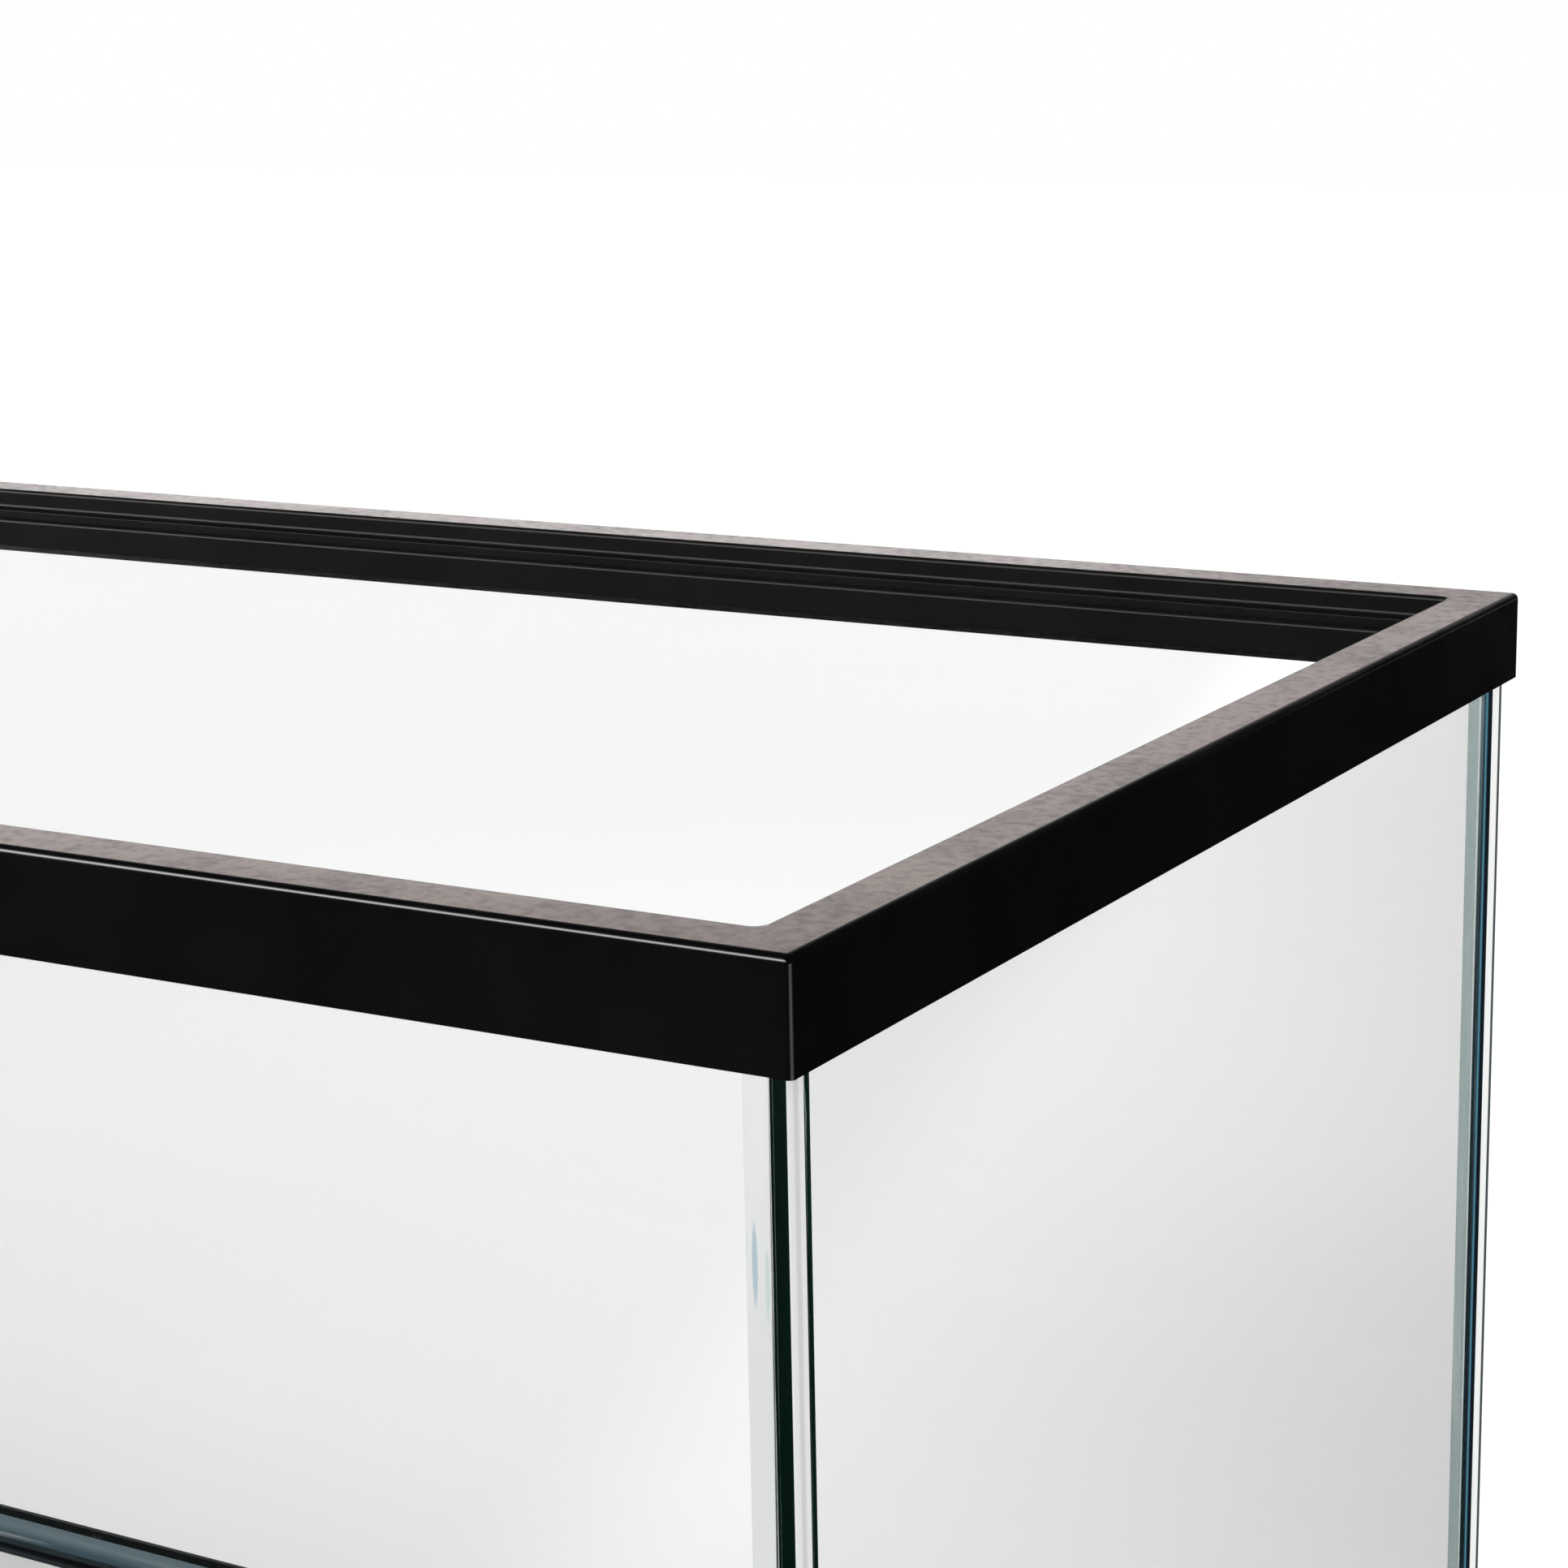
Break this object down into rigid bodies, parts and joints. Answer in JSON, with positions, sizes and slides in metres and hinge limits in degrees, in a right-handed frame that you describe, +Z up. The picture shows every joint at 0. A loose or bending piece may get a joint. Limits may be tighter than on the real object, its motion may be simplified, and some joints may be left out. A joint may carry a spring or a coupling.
{
  "type": "reptile_terrarium",
  "caption": "Open-topped rimmed glass terrarium: bonded glass panes with clear silicone beads between a black moulded top frame with a stepped lid ledge and a black bottom frame.",
  "frame": {"origin": "middle of the resting face, under the bottom frame", "axes": "X along the tank, -Y the front, +Z up"},
  "size_m": [0.768, 0.318, 0.324],
  "materials": {
    "frame_plastic": "satin black moulding, dusty matt on its flat top",
    "wall_glass": "clear float glass, green through its edges",
    "bond_silicone": "clear cured silicone in a thin bond line",
    "bead_silicone": "clear cured silicone, smoothed by hand"
  },
  "bodies": {
    "root": {"top_frame": "frame_plastic", "bottom_frame": "frame_plastic", "front_glass": "wall_glass", "back_glass": "wall_glass", "left_glass": "wall_glass", "right_glass": "wall_glass", "base_glass": "wall_glass", "front_left_joint": "bond_silicone", "front_right_joint": "bond_silicone", "back_left_joint": "bond_silicone", "back_right_joint": "bond_silicone", "front_base_joint": "bond_silicone", "back_base_joint": "bond_silicone", "left_base_joint": "bond_silicone", "right_base_joint": "bond_silicone", "top_bedding": "bond_silicone", "bottom_bedding": "bond_silicone", "front_left_bead": "bead_silicone", "front_right_bead": "bead_silicone", "back_left_bead": "bead_silicone", "back_right_bead": "bead_silicone", "front_base_bead": "bead_silicone", "back_base_bead": "bead_silicone", "left_base_bead": "bead_silicone", "right_base_bead": "bead_silicone"}
  },
  "joints": []
}
